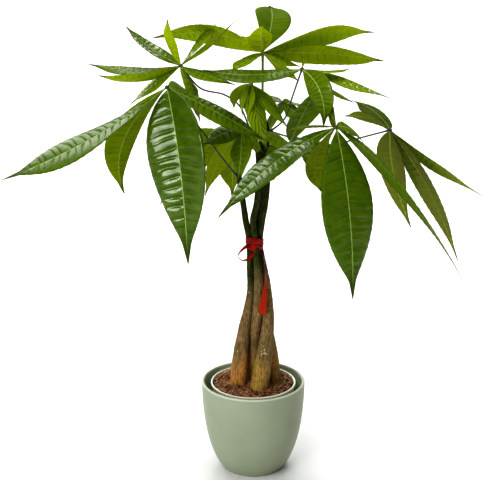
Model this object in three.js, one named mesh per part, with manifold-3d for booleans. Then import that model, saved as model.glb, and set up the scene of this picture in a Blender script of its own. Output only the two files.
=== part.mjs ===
// A money tree in its pot: four plants twisted into one trunk, palm-shaped leaves on long stalks, a ribbon
// round the stems, a plastic nursery pot with potting mix, and a ceramic cover pot.
// Millimetres, +Z up. The origin is the middle of the cover pot's foot.
import * as THREE from 'three';
import { mergeVertices } from 'three/addons/utils/BufferGeometryUtils.js';
import Module from 'manifold-3d';

const wasm = await Module();
wasm.setup();

// ---- driving dimensions -------------------------------------------------------------------------------

const GAP = 0.3; // clearance between neighbouring pieces
const WELD_DISTANCE = 1e-4;

const COVER_HEIGHT = 143.5;
const COVER_RADIUS = 80;
const COVER_FOOT_RADIUS = 47;
const COVER_WALL = 4.5;
const COVER_FLOOR = 6;
const COVER_FILLET = 3; // between the floor and the inner wall
const COVER_SIDES = 40;
const COVER_SIDE = [ // control points of the side's curve, from the foot to the rim
  [COVER_FOOT_RADIUS, 1], [COVER_FOOT_RADIUS + 19, 22],
  [COVER_RADIUS - 1, 70], [COVER_RADIUS, COVER_HEIGHT - COVER_WALL / 2],
];

const NURSERY_TOP = 141.5;
const NURSERY_RIM_RADIUS = 66;
const NURSERY_RIM_HEIGHT = 4;
const NURSERY_RIM_WIDTH = 1.4;
const NURSERY_FOOT_RADIUS = 45;
const NURSERY_WALL = 1.8;
const NURSERY_SIDES = 36;

const MIX_LEVEL = 135.5;
const MIX_MOUND = 1.5; // how much higher the mix stands in the middle
const CHIP_COUNT = 46;
const CHIP_SIZE = [13, 5, 3.4];
const CHIP_SCALE = [0.6, 1.2]; // smallest and largest size drawn
const CHIP_LEAN = [0.5, 0.6]; // widest draw of the two tilts
const CHIP_SEED = 20;
const MIX_SIDES = 32;
const SPLINTER = { size: [2, 2, 24], place: [49, 3, 146], lean: 0.12 };

const STEM_SIDES = 9;
const STEM_STEP = 16; // length of one stem segment
const STEM_FOOT = 112; // how deep the trunks stand in the mix

const RIBBON_WIDTH = 9;
const RIBBON_THICKNESS = 1.1;
const RIBBON_RADIUS = 13.2; // inside the band
const RIBBON_MIDDLE = [1.5, 0, 363];
const RIBBON_TILT = [0.1, 0.42];
const BAND_SIDES = 22;
const LOOP_WIDTH = 5.4;
const LOOP = [
  [-5.5, -12.3, 362], [-14, -15, 361], [-23, -16, 352], [-18, -17, 341], [-8, -16, 344], [-1, -13.9, 353],
];
const TAIL = [[12, -8.5, 357], [17, -12, 338], [18, -17, 315], [17.5, -19.5, 290], [13.5, -22, 254]];
const TAPE_STEPS = 2; // pieces of tape between two of its points

const BLADE_THICKNESS = 0.9;
const BLADE_BASE = 0.02; // where the blade begins on the midrib, as a share of the leaflet
const BLADE_LENGTH = 0.89; // length of the blade, the rest is the drip tip
const BLADE_PEAK = 0.47; // where a leaflet is widest
const BLADE_FULLNESS = 0.8;
const STALK_HALF_WIDTH = 1.2; // of the leaflet's own short stalk
const TIP_HALF_WIDTH = 0.8;
const LONG_LEAFLET = 95;
const LONG_STATIONS = [0, 0.06, 0.16, 0.3, 0.47, 0.64, 0.79, 0.91, 1];
const SHORT_STATIONS = [0, 0.12, 0.35, 0.64, 0.91, 1];

const PETIOLE_SIDES = 5;
const PETIOLE_STEP = 22;
const PETIOLE_RADIUS = { base: 2.4, middle: 1.7, hub: 1.7 };
const HUB_RADIUS = 3.2;
const HUB_SIDES = [7, 5];

// Each stem: points on its middle line with its radius, from its foot in the mix to its growing tip.
const STEMS = {
  left: [
    [-26, 0, STEM_FOOT, 13], [-23, -2, 140, 13], [-21, -2, 176, 12], [-15.5, -1.5, 222, 9.2],
    [-8.5, 1, 257, 7.4], [-3, 1, 290, 6.4], [-4.5, -0.5, 323, 5.4], [-6, -1.5, 368, 5],
    [-12, -3, 403, 4.6], [-15, -5, 427, 4.4], [-19, -7, 455, 4.2], [-22, -8, 476, 4],
    [-23, -8, 484, 2.6], [-23.5, -8, 490, 1],
  ],
  middle: [
    [-2, 19, STEM_FOOT, 11], [0, 16, 140, 11], [1, 8, 190, 9.6], [5, -4, 243, 8],
    [7.5, -10.5, 275, 7.8], [7.5, -11.5, 308, 7], [6, -10, 340, 6], [3, -7.5, 368, 5.1],
    [-1, -8, 404, 4.7], [4, -9, 428, 4.6], [7, -9, 456, 4.5], [7.5, -8, 490, 4.3], [6, -7, 516, 4],
    [5.5, -7, 523, 2.6], [5, -7, 529, 1],
  ],
  front: [
    [8, -20, STEM_FOOT, 14.5], [9.5, -19, 140, 14.5], [17, -15, 190, 12.4], [22.5, -8, 243, 9],
    [21.5, -1.5, 275, 7.8], [18, 2, 308, 6.6], [13, 3.5, 337, 5.7], [9, 1.5, 368, 5.1],
    [13, 1, 404, 4.8], [17, 1, 427, 4.7], [20, 4, 463, 4.6], [20, 8, 510, 4.3], [19.5, 9, 540, 4],
    [19.5, 9, 547, 2.6], [19.5, 9, 553, 1],
  ],
  right: [
    [34, 6, STEM_FOOT, 10.6], [32.5, 8, 140, 10.6], [29, 12, 176, 10], [22, 16, 218, 8.6],
    [12, 19, 257, 7.6], [5, 16.5, 290, 6.6], [2, 12, 323, 5.8], [0.5, 8, 368, 5.1],
    [5, 12, 405, 4.8], [9, 16, 428, 4.7], [12, 20, 463, 4.5], [12.5, 23, 510, 4.3], [12.5, 22, 557, 4],
    [13, 21, 588, 3.4], [13, 21, 594, 2.2], [13, 21, 599, 1],
  ],
};

// Each leaf: the stem it grows on, its hub, points along its petiole (only the first one's height counts,
// because it lies on the stem's middle line), and its leaflets. Each leaflet, measured from the hub: the point
// that its midrib passes halfway, its tip, its width, the turn of the blade about its midrib in degrees,
// the fold of its two halves in degrees and, if it isn't the usual, its widest place.
const LEAVES = [
  {
    name: 'leaf_upper_left', stem: 'middle', hub: [-107, 10, 636],
    petiole: [[5, -6, 513], [-10, -2, 555], [-22, 2, 579], [-44, 6, 594], [-79, 10, 603]],
    leaflets: [
      [[-46, 25, 22], [-82, 40, 51], 46, 0, 10],
      [[-12, -15, 38], [-17, -30, 73], 30, 20, 0],
      [[32, 25, 36], [51, 40, 54], 28, 10, 0],
      [[44, -8, 36], [86, 0, 71], 30, 20, 0],
      [[-70, 25, -11], [-140, 40, -5], 46, 5, 0],
      [[-60, -22, -14], [-117, -40, -6], 42, -35, 10],
      [[39, -35, -7], [81, -55, -17], 36, 0, 0],
      [[20, -40, -30], [28, -8, -84], 40, -10, 0],
      [[-40, -2, -27], [-76, -5, -58], 32, 18, 0],
    ],
  },
  {
    name: 'leaf_left', stem: 'left', hub: [-124, -60, 619],
    petiole: [[-21, -8, 468], [-47, -25, 507], [-72, -38, 545], [-106, -55, 598]],
    leaflets: [
      [[-111, -34, -69], [-234, -50, -123], 84, 5, 5, 0.56],
      [[-66, 35, -86], [-69, 60, -175], 56, -10, 20],
      [[19, -35, -112], [29, -45, -250], 98, -60, 15, 0.4],
      [[73, -10, -35], [141, -10, -76], 50, -15, 0],
      [[22, 65, -22], [37, 74, -38], 40, -50, 0],
    ],
  },
  {
    name: 'leaf_top', stem: 'right', hub: [13, 20, 653],
    petiole: [[13, 21, 579], [13, 20, 619]],
    leaflets: [
      [[-75, 35, 22], [-167, 80, 7], 64, -40, 0],
      [[14, 54, 36], [12, 150, 45], 60, -17, 21, 0.55],
      [[-16, -12, 15], [-30, -14, 27], 38, -35, 20],
      [[-2, -17, 24], [-1, -14, 45], 40, -20, 15],
      [[82, 35, 19], [170, 70, 18], 64, 35, 0],
      [[96, 37, -8], [179, 5, -13], 66, 40, 0, 0.52],
      [[-24, -20, -8], [-46, -40, -20], 42, -5, 10],
      [[28, 0, -10], [56, 12, -23], 28, -15, 0],
      [[27, -27, -17], [53, -20, -38], 30, 45, 0],
    ],
  },
  {
    name: 'leaf_upper_right', stem: 'front', hub: [69, -30, 639],
    petiole: [[18, 8, 534], [45, 2, 558], [56, -14, 595], [63, -25, 620]],
    leaflets: [
      [[-72, -20, -4], [-142, -20, 3], 48, 15, 0],
      [[25, -40, -25], [31, -18, -80], 40, -90, 5],
      [[36, 1, -3], [72, 38, -7], 28, 0, 0],
      [[64, 10, -20], [132, 20, -48], 44, -5, 0],
      [[38, -20, -24], [75, -30, -43], 34, 5, 0],
      [[4, 40, 4], [3, 56, 7], 24, -110, 5],
    ],
  },
  {
    name: 'leaf_front_right', stem: 'front', hub: [116, -90, 568],
    petiole: [[18, 6, 485], [46, -25, 510], [83, -62, 544]],
    leaflets: [
      [[19, -35, -116], [26, -40, -244], 86, 0, 0],
      [[-87, -35, -42], [-167, -60, -116], 80, 4, 5, 0.52],
      [[99, 15, -95], [195, 30, -242], 60, -15, 0],
      [[21, 15, -6], [40, 20, -27], 32, -25, 0],
      [[-4, 30, 9], [-12, 50, 18], 30, -85, 5],
      [[-28, 25, -54], [-15, 35, -108], 44, 25, 0],
      [[-33, 18, -2], [-71, 35, -14], 36, -20, 0],
    ],
  },
  {
    name: 'leaf_right', stem: 'front', hub: [203, 20, 537],
    petiole: [[17, 6, 470], [54, 3, 494], [91, 5, 509], [154, 15, 525]],
    leaflets: [
      [[-29, 35, 10], [-65, 60, 7], 44, -40, 5],
      [[-19, 63, 14], [-54, 90, 26], 46, -15, 0],
      [[12, 35, -81], [41, 40, -165], 56, 0, 0, 0.42],
      [[63, 15, -97], [112, 10, -211], 70, 20, 0],
      [[66, 0, -52], [146, -10, -102], 54, 20, 0],
    ],
  },
  {
    name: 'leaf_back', stem: 'right', hub: [43, 110, 558],
    petiole: [[13, 22, 570], [26, 60, 561]],
    leaflets: [
      [[-23, 20, 5], [-48, 30, 3], 40, -5, 0],
      [[28, 60, -15], [63, 136, -46], 46, -13, 0],
      [[17, 8, -13], [37, 2, -33], 40, -30, 0],
      [[-7, 55, -27], [-19, 115, -81], 46, 40, 0],
    ],
  },
  {
    name: 'leaf_young', stem: 'middle', hub: [-4, -35, 618],
    petiole: [[7, -8, 505], [0, -22, 565]],
    leaflets: [
      [[-13, -12, -17], [-12, -10, -46], 24, -15, 0],
      [[-5, -20, -20], [-5, -25, -48], 28, -45, 0],
      [[9, -25, -41], [24, -15, -95], 34, -20, 0],
      [[27, -10, -27], [53, -5, -63], 32, -25, 0],
      [[-19, 5, -12], [-25, 15, -38], 34, -15, 0],
    ],
  },
  {
    name: 'leaf_inner_left', stem: 'left', hub: [-18, -25, 553],
    petiole: [[-22, -8, 477], [-19, -12, 515]],
    leaflets: [
      [[-1, -25, -34], [-5, -35, -72], 38, -35, 5],
      [[-28, -18, -6], [-59, -23, -23], 42, 20, 0],
      [[-32, 40, -58], [-56, 65, -124], 46, 0, 0],
      [[16, -10, -16], [31, -5, -38], 36, -20, 0],
    ],
  },
  {
    name: 'leaf_inner_right', stem: 'front', hub: [54, 0, 522],
    petiole: [[18, 8, 510], [35, 4, 517]],
    leaflets: [
      [[23, 50, 37], [47, 80, 69], 68, 20, 0],
      [[-23, -11, 10], [-46, -10, 24], 36, 20, 0],
      [[-21, -8, -12], [-41, -6, -27], 36, 37, 0],
      [[23, 20, -13], [43, 40, -36], 36, -40, 0],
    ],
  },
  {
    name: 'leaf_back_left', stem: 'right', hub: [-41, 90, 518],
    petiole: [[14, 21, 494], [-11, 50, 511]],
    leaflets: [
      [[-52, 40, -56], [-109, 75, -140], 70, -15, 0],
      [[-61, 43, -19], [-123, 115, -66], 66, -32, 0],
      [[-10, 82, -32], [-18, 150, -88], 68, 20, 0],
      [[26, 58, -16], [50, 102, -46], 54, 10, 0],
      [[8, 42, -57], [7, 60, -121], 58, 40, 0],
    ],
  },
  {
    name: 'leaf_back_right', stem: 'right', hub: [76, 92, 503],
    petiole: [[14, 22, 540], [42, 60, 520]],
    leaflets: [
      [[36, 45, -60], [73, 55, -148], 72, 0, 0],
      [[53, 42, -25], [102, 120, -92], 66, -2, 0],
      [[12, 86, -26], [24, 158, -80], 68, -20, 0],
      [[-23, 36, -29], [-42, 114, -96], 58, 20, 0],
    ],
  },
];

const COLOURS = {
  cover: { color: 0x9ca58a, roughness: 0.55 },
  nursery: { color: 0xe4dccb, roughness: 0.45 },
  mix: { color: 0x7d5635, roughness: 0.95 },
  bark: { color: 0x6c5732, roughness: 0.85 },
  ribbon: { color: 0xb01812, roughness: 0.5 },
  leaf: { color: 0x3f6a0a, roughness: 0.4 },
  youngLeaf: { color: 0x6c8a12, roughness: 0.5 },
};

// ---- solids -------------------------------------------------------------------------------------------

function toSolid(geometry) {
  const bare = geometry.clone();
  bare.deleteAttribute('normal');
  bare.deleteAttribute('uv');
  const merged = mergeVertices(bare, WELD_DISTANCE);
  return new wasm.Manifold(new wasm.Mesh({
    numProp: 3,
    vertProperties: new Float32Array(merged.attributes.position.array),
    triVerts: new Uint32Array(merged.index.array),
  }));
}

function toGeometry(solid) {
  const mesh = solid.getMesh();
  const geometry = new THREE.BufferGeometry();
  geometry.setAttribute('position', new THREE.BufferAttribute(mesh.vertProperties, 3));
  geometry.setIndex(new THREE.BufferAttribute(mesh.triVerts, 1));
  geometry.computeVertexNormals();
  return geometry;
}

function join(solids) {
  return solids.reduce((whole, next) => whole.add(next));
}

// A curve's own direction across it: it follows the world axis that the curve runs along least.
function acrossAxis(from, to) {
  const chord = to.clone().sub(from).normalize();
  const axes = [new THREE.Vector3(1, 0, 0), new THREE.Vector3(0, 1, 0), new THREE.Vector3(0, 0, 1)];
  return axes.reduce((best, axis) => (Math.abs(axis.dot(chord)) < Math.abs(best.dot(chord)) ? axis : best));
}

// A closed rod: a cylinder whose height is laid along a curve, with its radius given at each curve point.
function rod(points, radii, sides, step) {
  const curve = new THREE.CatmullRomCurve3(points);
  const segments = Math.max(points.length, Math.ceil(curve.getLength() / step));
  const geometry = new THREE.CylinderGeometry(1, 1, 1, sides, segments);
  const reference = acrossAxis(points[0], points[points.length - 1]);
  const place = geometry.attributes.position;
  const vertex = new THREE.Vector3();
  for (let i = 0; i < place.count; i += 1) {
    vertex.fromBufferAttribute(place, i);
    const along = vertex.y + 0.5;
    const tangent = curve.getTangent(along);
    const second = tangent.clone().cross(reference).normalize();
    const first = second.clone().cross(tangent);
    const slot = Math.min(along * (radii.length - 1), radii.length - 1 - 1e-6);
    const radius = THREE.MathUtils.lerp(radii[Math.floor(slot)], radii[Math.floor(slot) + 1], slot % 1);
    const centre = curve.getPoint(along);
    centre.addScaledVector(first, vertex.z * radius).addScaledVector(second, vertex.x * radius);
    place.setXYZ(i, centre.x, centre.y, centre.z);
  }
  return toSolid(geometry);
}

function ball(centre, radius) {
  const geometry = new THREE.SphereGeometry(radius, ...HUB_SIDES);
  geometry.translate(centre.x, centre.y, centre.z);
  return toSolid(geometry);
}

// A round shell or filling, turned about Z from a closed profile of [radius, height] points.
function turned(profile, sides) {
  const outline = profile.map(([radius, height]) => new THREE.Vector2(radius, height));
  const geometry = new THREE.LatheGeometry(outline, sides);
  geometry.rotateX(Math.PI / 2);
  return geometry;
}

// ---- stems --------------------------------------------------------------------------------------------

function stem(rows, extra) {
  const points = rows.map(([x, y, z]) => new THREE.Vector3(x, y, z));
  const radii = rows.map((row) => row[3] + extra);
  return rod(points, radii, STEM_SIDES, STEM_STEP);
}

// ---- leaves -------------------------------------------------------------------------------------------

// Half the width of a leaflet: a short stalk, a rounded blade and a narrow drip tip.
function halfWidth(share, width, peak) {
  const inBlade = THREE.MathUtils.clamp((share - BLADE_BASE) / BLADE_LENGTH, 0, 1);
  const skew = Math.log(0.5) / Math.log((peak - BLADE_BASE) / BLADE_LENGTH);
  const blade = Math.max(Math.sin(Math.PI * inBlade ** skew), 0) ** BLADE_FULLNESS * width / 2;
  const least = share < BLADE_PEAK ? STALK_HALF_WIDTH : TIP_HALF_WIDTH;
  return Math.max(blade, least);
}

// One leaflet: a thin plate along an arched midrib, folded along it, both faces split into triangles alike.
function leaflet(hub, [middle, end, width, turn, fold, peak = BLADE_PEAK]) {
  const start = new THREE.Vector3(...hub);
  const half = new THREE.Vector3(...middle).add(start);
  const tip = new THREE.Vector3(...end).add(start);
  const control = half.clone().multiplyScalar(2).addScaledVector(start, -0.5).addScaledVector(tip, -0.5);
  const midrib = new THREE.QuadraticBezierCurve3(start, control, tip);
  const chord = tip.clone().sub(start).normalize();
  const up = new THREE.Vector3(0, 0, 1).addScaledVector(chord, -chord.z).normalize();
  const stations = midrib.getLength() > LONG_LEAFLET ? LONG_STATIONS : SHORT_STATIONS;
  const turnAngle = THREE.MathUtils.degToRad(turn);
  const foldAngle = THREE.MathUtils.degToRad(fold);

  const vertices = [];
  for (const share of stations) {
    const tangent = midrib.getTangent(share);
    const side = tangent.clone().cross(up).normalize().applyAxisAngle(tangent, turnAngle);
    const face = side.clone().cross(tangent);
    const reach = halfWidth(share, width, peak);
    for (const thick of [0.5, -0.5]) {
      for (const hand of [-1, 0, 1]) {
        const point = midrib.getPoint(share);
        point.addScaledVector(side, hand * reach * Math.cos(foldAngle));
        point.addScaledVector(face, Math.abs(hand) * reach * Math.sin(foldAngle) + thick * BLADE_THICKNESS);
        vertices.push(point.x, point.y, point.z);
      }
    }
  }

  const ring = [0, 1, 2, 5, 4, 3]; // across the upper face, back across the lower face
  const splitFirst = [true, true, true, false, false, true]; // the faces' diagonals lie above each other
  const index = [];
  for (let row = 0; row < stations.length - 1; row += 1) {
    for (let k = 0; k < ring.length; k += 1) {
      const a = row * 6 + ring[k];
      const b = row * 6 + ring[(k + 1) % ring.length];
      const quad = [a, b, b + 6, a + 6];
      const order = splitFirst[k] ? [0, 1, 2, 0, 2, 3] : [1, 2, 3, 1, 3, 0];
      index.push(...order.map((corner) => quad[corner]));
    }
  }
  const last = (stations.length - 1) * 6;
  index.push(0, 3, 4, 0, 4, 1, 1, 4, 5, 1, 5, 2);
  index.push(...[0, 4, 3, 0, 1, 4, 1, 5, 4, 1, 2, 5].map((corner) => corner + last));

  const geometry = new THREE.BufferGeometry();
  geometry.setAttribute('position', new THREE.Float32BufferAttribute(vertices, 3));
  geometry.setIndex(index);
  return toSolid(geometry);
}

// The point on a stem's middle line at a height.
function onStem(rows, height) {
  const above = rows.findIndex((row) => row[2] > height);
  const [low, high] = [rows[above - 1], rows[above]].map(([x, y, z]) => new THREE.Vector3(x, y, z));
  return low.lerp(high, (height - low.z) / (high.z - low.z));
}

function leaf({ stem: stemName, hub, petiole, leaflets }, clearances) {
  const centre = new THREE.Vector3(...hub);
  const bends = petiole.slice(1).map((point) => new THREE.Vector3(...point));
  const points = [onStem(STEMS[stemName], petiole[0][2]), ...bends, centre];
  const radii = points.map(() => PETIOLE_RADIUS.middle);
  radii[0] = PETIOLE_RADIUS.base;
  radii[radii.length - 1] = PETIOLE_RADIUS.hub;
  const stalk = rod(points, radii, PETIOLE_SIDES, PETIOLE_STEP);
  const whole = join([stalk, ball(centre, HUB_RADIUS), ...leaflets.map((row) => leaflet(hub, row))]);
  return clearances.reduce((rest, clearance) => rest.subtract(clearance), whole);
}

// ---- ribbon -------------------------------------------------------------------------------------------

// A flat tape along a curve, its width kept upright.
function tape(points, width) {
  const curve = new THREE.CatmullRomCurve3(points.map((point) => new THREE.Vector3(...point)));
  const geometry = new THREE.BoxGeometry(1, 1, 1, 1, 1, points.length * TAPE_STEPS);
  const place = geometry.attributes.position;
  const vertex = new THREE.Vector3();
  const outward = new THREE.Vector3();
  for (let i = 0; i < place.count; i += 1) {
    vertex.fromBufferAttribute(place, i);
    const tangent = curve.getTangent(vertex.z + 0.5);
    const centre = curve.getPoint(vertex.z + 0.5);
    outward.set(0, -1, 0).addScaledVector(tangent, tangent.y).normalize();
    const across = outward.clone().cross(tangent);
    centre.addScaledVector(across, vertex.x * width).addScaledVector(outward, vertex.y * RIBBON_THICKNESS);
    place.setXYZ(i, centre.x, centre.y, centre.z);
  }
  return toSolid(geometry);
}

function ribbon(clearances) {
  const outer = RIBBON_RADIUS + RIBBON_THICKNESS;
  const low = -RIBBON_WIDTH / 2;
  const band = turned([
    [RIBBON_RADIUS, low], [outer, low], [outer, -low], [RIBBON_RADIUS, -low], [RIBBON_RADIUS, low],
  ], BAND_SIDES);
  band.rotateX(RIBBON_TILT[0]).rotateY(RIBBON_TILT[1]).translate(...RIBBON_MIDDLE);
  const whole = join([toSolid(band), tape(LOOP, LOOP_WIDTH), tape(TAIL, RIBBON_WIDTH)]);
  return clearances.reduce((rest, clearance) => rest.subtract(clearance), whole);
}

// ---- pots and potting mix -----------------------------------------------------------------------------

// The cover pot's side: one curve from the foot to the rim, offset inwards for the inner wall.
function coverProfile() {
  const side = new THREE.CubicBezierCurve(...COVER_SIDE.map((point) => new THREE.Vector2(...point)));
  const outside = side.getPoints(8).map((point) => [point.x, point.y]);
  const round = COVER_WALL / 2;
  const rim = [60, 90, 120].map((degrees) => {
    const angle = THREE.MathUtils.degToRad(degrees);
    return [COVER_RADIUS - round + round * Math.cos(angle), COVER_HEIGHT - round + round * Math.sin(angle)];
  });
  const inside = outside.filter(([, height]) => height > COVER_FLOOR + COVER_FILLET)
    .map(([radius, height]) => [radius - COVER_WALL, height])
    .reverse();
  const floorRadius = inside[inside.length - 1][0] - COVER_FILLET;
  return [[0, 0], [COVER_FOOT_RADIUS - 2, 0], ...outside, ...rim, ...inside, [floorRadius, COVER_FLOOR],
    [0, COVER_FLOOR]];
}

function nurseryProfile() {
  const low = COVER_FLOOR + GAP;
  const under = NURSERY_TOP - NURSERY_RIM_HEIGHT;
  const neck = NURSERY_RIM_RADIUS - NURSERY_RIM_WIDTH;
  return [
    [0, low], [NURSERY_FOOT_RADIUS, low], [neck, under], [NURSERY_RIM_RADIUS, under],
    [NURSERY_RIM_RADIUS, NURSERY_TOP], [neck - NURSERY_WALL, NURSERY_TOP],
    [neck - NURSERY_WALL, under], [NURSERY_FOOT_RADIUS - NURSERY_WALL, low + NURSERY_WALL],
    [0, low + NURSERY_WALL],
  ];
}

// The nursery pot's inner radius at a height.
function nurseryInside(height) {
  const low = COVER_FLOOR + GAP + NURSERY_WALL;
  const high = NURSERY_TOP - NURSERY_RIM_HEIGHT;
  const share = (height - low) / (high - low);
  const neck = NURSERY_RIM_RADIUS - NURSERY_RIM_WIDTH;
  return THREE.MathUtils.lerp(NURSERY_FOOT_RADIUS, neck, share) - NURSERY_WALL;
}

// A repeatable draw of numbers from 0 to 1: each state is the last one times a factor, modulo a prime.
function draws(seed) {
  const factor = 16807;
  const prime = 2147483647;
  let state = seed;
  return () => {
    state = (state * factor) % prime;
    return state / prime;
  };
}

function chip(size, place, turns) {
  const geometry = new THREE.BoxGeometry(...size);
  geometry.rotateX(turns[0]).rotateY(turns[1]).rotateZ(turns[2]).translate(...place);
  return toSolid(geometry);
}

// The filling with its bark chips; the stems stand in plain holes.
function pottingMix(clearances) {
  const low = COVER_FLOOR + 2 * GAP + NURSERY_WALL;
  const filling = turned([
    [0, low], [nurseryInside(low) - 2 * GAP, low], [nurseryInside(MIX_LEVEL) - 2 * GAP, MIX_LEVEL],
    [NURSERY_RIM_RADIUS / 2, MIX_LEVEL + MIX_MOUND], [0, MIX_LEVEL + MIX_MOUND],
  ], MIX_SIDES);
  const draw = draws(CHIP_SEED);
  const reach = nurseryInside(MIX_LEVEL) - CHIP_SIZE[0] * 0.75;
  const chips = Array.from({ length: CHIP_COUNT }, () => {
    const radius = reach * Math.sqrt(draw());
    const angle = 2 * Math.PI * draw();
    const size = CHIP_SIZE.map((side) => side * THREE.MathUtils.lerp(...CHIP_SCALE, draw()));
    const level = MIX_LEVEL + MIX_MOUND * (1 - radius / reach);
    const place = [radius * Math.cos(angle), radius * Math.sin(angle), level];
    const leans = CHIP_LEAN.map((widest) => widest * (draw() - 0.5));
    return chip(size, place, [...leans, Math.PI * draw()]);
  });
  const splinter = chip(SPLINTER.size, SPLINTER.place, [0, SPLINTER.lean, 0]);
  const whole = join([toSolid(filling), ...chips, splinter]);
  return clearances.reduce((rest, clearance) => rest.subtract(clearance), whole);
}

// ---- the whole plant ----------------------------------------------------------------------------------

const group = new THREE.Group();

function addPiece(name, geometry, look) {
  const piece = new THREE.Mesh(geometry, new THREE.MeshStandardMaterial({ ...look, metalness: 0 }));
  piece.name = name;
  group.add(piece);
}

const stemNames = Object.keys(STEMS);
const stemClearances = stemNames.map((name) => stem(STEMS[name], GAP));

addPiece('cover_pot', turned(coverProfile(), COVER_SIDES), COLOURS.cover);
addPiece('nursery_pot', turned(nurseryProfile(), NURSERY_SIDES), COLOURS.nursery);
addPiece('potting_mix', toGeometry(pottingMix(stemClearances)), COLOURS.mix);
stemNames.forEach((name) => addPiece(`stem_${name}`, toGeometry(stem(STEMS[name], 0)), COLOURS.bark));
addPiece('ribbon', toGeometry(ribbon(stemClearances)), COLOURS.ribbon);
LEAVES.forEach((row) => {
  const look = row.name === 'leaf_young' ? COLOURS.youngLeaf : COLOURS.leaf;
  addPiece(row.name, toGeometry(leaf(row, stemClearances)), look);
});

export default group;
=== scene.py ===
"""A potted money tree: four young trunks twisted together, palm-shaped leaves on long stalks, a red ribbon,
a nursery pot with bark mulch and a satin ceramic cover pot. Lengths are millimetres, except on the stage."""
from dataclasses import dataclass

import bpy
import numpy as np
from mathutils import Euler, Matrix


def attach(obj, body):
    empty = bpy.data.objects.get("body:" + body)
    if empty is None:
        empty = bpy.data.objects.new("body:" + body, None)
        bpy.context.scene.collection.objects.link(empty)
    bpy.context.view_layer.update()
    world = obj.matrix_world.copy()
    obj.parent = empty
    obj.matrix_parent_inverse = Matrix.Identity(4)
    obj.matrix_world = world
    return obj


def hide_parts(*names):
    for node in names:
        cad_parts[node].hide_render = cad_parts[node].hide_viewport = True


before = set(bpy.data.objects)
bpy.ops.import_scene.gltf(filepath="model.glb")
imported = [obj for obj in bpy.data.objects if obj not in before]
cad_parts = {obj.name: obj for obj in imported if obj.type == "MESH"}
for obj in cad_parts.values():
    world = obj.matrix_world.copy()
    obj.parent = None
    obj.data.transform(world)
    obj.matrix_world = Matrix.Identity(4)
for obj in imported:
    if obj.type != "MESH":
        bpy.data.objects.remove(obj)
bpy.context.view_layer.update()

MM = 0.001

# ---- the plant's sizes ----

COVER_HEIGHT = 143.5
COVER_RADIUS = 80.0
COVER_FOOT_RADIUS = 47.0
COVER_WALL = 4.5
COVER_FLOOR = 6.0

NURSERY_TOP = 141.5
NURSERY_RIM_RADIUS = 66.0
NURSERY_FOOT_RADIUS = 45.0
NURSERY_WALL = 1.8
NURSERY_BASE = 6.3

MIX_BASE = 8.4
MIX_LEVEL = 135.5
MIX_MOUND = 1.5
MIX_FOOT_RADIUS = 42.6
MIX_TOP_RADIUS = 61.8

RIBBON_MIDDLE = (1.5, 0.0, 363.0)

# Each trunk: points on its middle line with its radius, from its foot in the mix to its growing tip.
STEMS = {
    "left": [
        (-26, 0, 112, 13), (-23, -2, 140, 13), (-21, -2, 176, 12), (-15.5, -1.5, 222, 9.2),
        (-8.5, 1, 257, 7.4), (-3, 1, 290, 6.4), (-4.5, -0.5, 323, 5.4), (-6, -1.5, 368, 5),
        (-12, -3, 403, 4.6), (-15, -5, 427, 4.4), (-19, -7, 455, 4.2), (-22, -8, 476, 4),
        (-23, -8, 484, 2.6), (-23.5, -8, 490, 1),
    ],
    "middle": [
        (-2, 19, 112, 11), (0, 16, 140, 11), (1, 8, 190, 9.6), (5, -4, 243, 8),
        (7.5, -10.5, 275, 7.8), (7.5, -11.5, 308, 7), (6, -10, 340, 6), (3, -7.5, 368, 5.1),
        (-1, -8, 404, 4.7), (4, -9, 428, 4.6), (7, -9, 456, 4.5), (7.5, -8, 490, 4.3), (6, -7, 516, 4),
        (5.5, -7, 523, 2.6), (5, -7, 529, 1),
    ],
    "front": [
        (8, -20, 112, 14.5), (9.5, -19, 140, 14.5), (17, -15, 190, 12.4), (22.5, -8, 243, 9),
        (21.5, -1.5, 275, 7.8), (18, 2, 308, 6.6), (13, 3.5, 337, 5.7), (9, 1.5, 368, 5.1),
        (13, 1, 404, 4.8), (17, 1, 427, 4.7), (20, 4, 463, 4.6), (20, 8, 510, 4.3), (19.5, 9, 540, 4),
        (19.5, 9, 547, 2.6), (19.5, 9, 553, 1),
    ],
    "right": [
        (34, 6, 112, 10.6), (32.5, 8, 140, 10.6), (29, 12, 176, 10), (22, 16, 218, 8.6),
        (12, 19, 257, 7.6), (5, 16.5, 290, 6.6), (2, 12, 323, 5.8), (0.5, 8, 368, 5.1),
        (5, 12, 405, 4.8), (9, 16, 428, 4.7), (12, 20, 463, 4.5), (12.5, 23, 510, 4.3), (12.5, 22, 557, 4),
        (13, 21, 588, 3.4), (13, 21, 594, 2.2), (13, 21, 599, 1),
    ],
}


@dataclass
class Leaflet:
    """half, which is halfway along the midrib, and tip are measured from the hub. turn and fold are degrees.
    tone runs from dark green, 0, to yellow-green, 1: it is the leaflet's own colour together with painted
    light and shade, that is, how brightly the leaflet is lit and backlit. gloss is how shiny the upper side
    is, brown its share of bronze, and peak the widest place along the midrib."""
    half: tuple
    tip: tuple
    width: float
    turn: float
    fold: float
    tone: float
    gloss: float = 1.0
    brown: float = 0.0
    peak: float = 0.47


@dataclass
class Leaf:
    """A stalk from a height on a trunk over some bends to the hub, and a row for each Leaflet there."""
    name: str
    stem: str
    leaves_at: float
    bends: list
    hub: tuple
    leaflets: list


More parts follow.
